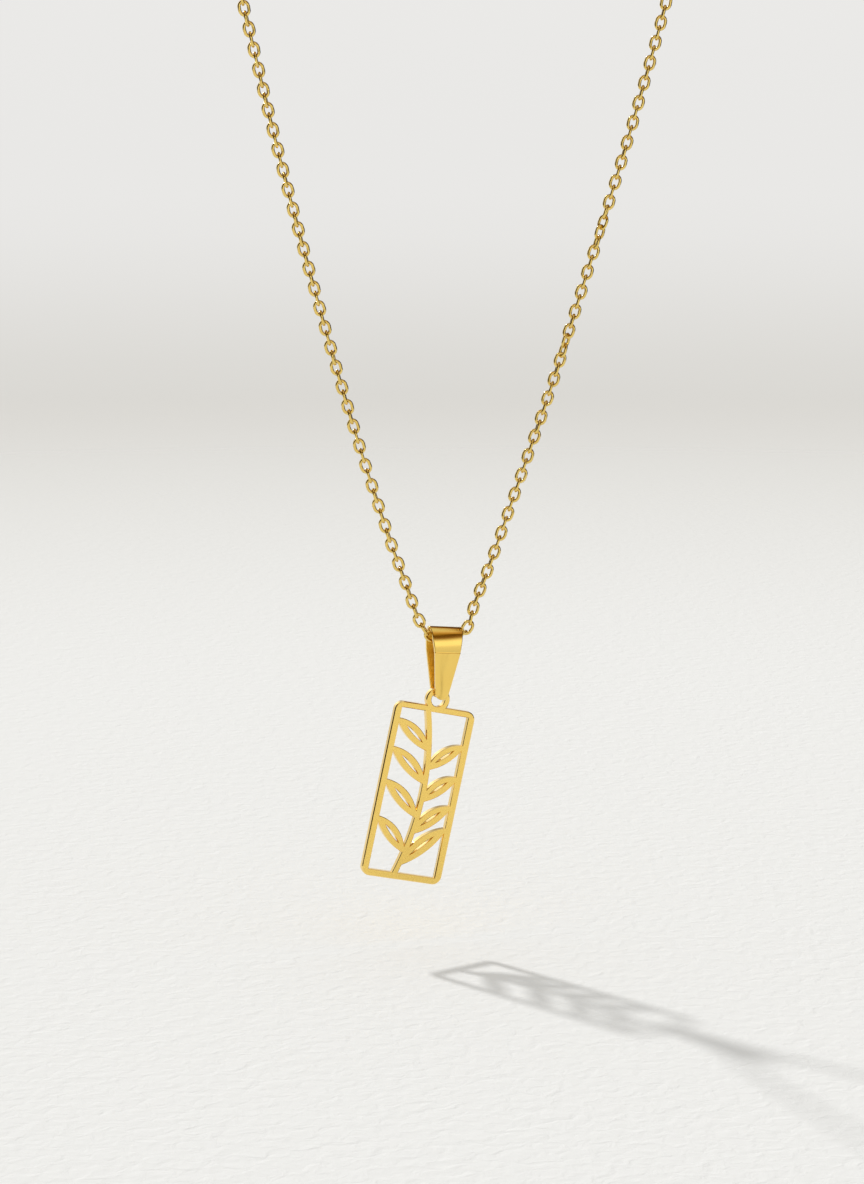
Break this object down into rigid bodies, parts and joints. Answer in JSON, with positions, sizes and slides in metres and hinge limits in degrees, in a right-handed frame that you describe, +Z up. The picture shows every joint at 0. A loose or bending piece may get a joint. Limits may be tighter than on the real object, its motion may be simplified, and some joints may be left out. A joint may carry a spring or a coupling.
{
  "type": "tag necklace",
  "caption": "Closed fine link-chain necklace with a folded, tapered bail that carries a pierced, upright rectangular tag in yellow metal.",
  "frame": {"origin": "middle of the clasp, where the necklace lies on the nape", "axes": "+X the wearer's left (right in the front view), +Y towards the wearer's back, +Z up; the pendant hangs below and in front of the origin"},
  "size_m": [0.1026, 0.0983, 0.19],
  "materials": {
    "tag_metal": "gold-plated, fine satin faces and bright cut edges",
    "bail_metal": "gold-plated, polished with a soft satin on the leaves",
    "chain_metal": "gold-plated, polished wire",
    "clasp_metal": "gold-plated, polished"
  },
  "bodies": {
    "chain": {"chain_left": "chain_metal", "chain_right": "chain_metal", "end_ring": "clasp_metal", "clasp": "clasp_metal"},
    "bail": {"bail": "bail_metal"},
    "tag": {"tag": "tag_metal"}
  },
  "joints": [
    {"name": "bail_swing", "type": "hinge", "parent": "chain", "child": "bail", "pos_m": [0, -0.094, -0.152], "axis": [0.9962, 0, -0.0872], "range_deg": [-90, 90]},
    {"name": "tag_swing", "type": "hinge", "parent": "bail", "child": "tag", "pos_m": [-0.00072, -0.094, -0.16022], "axis": [0, 1, 0], "range_deg": [-90, 90]}
  ]
}
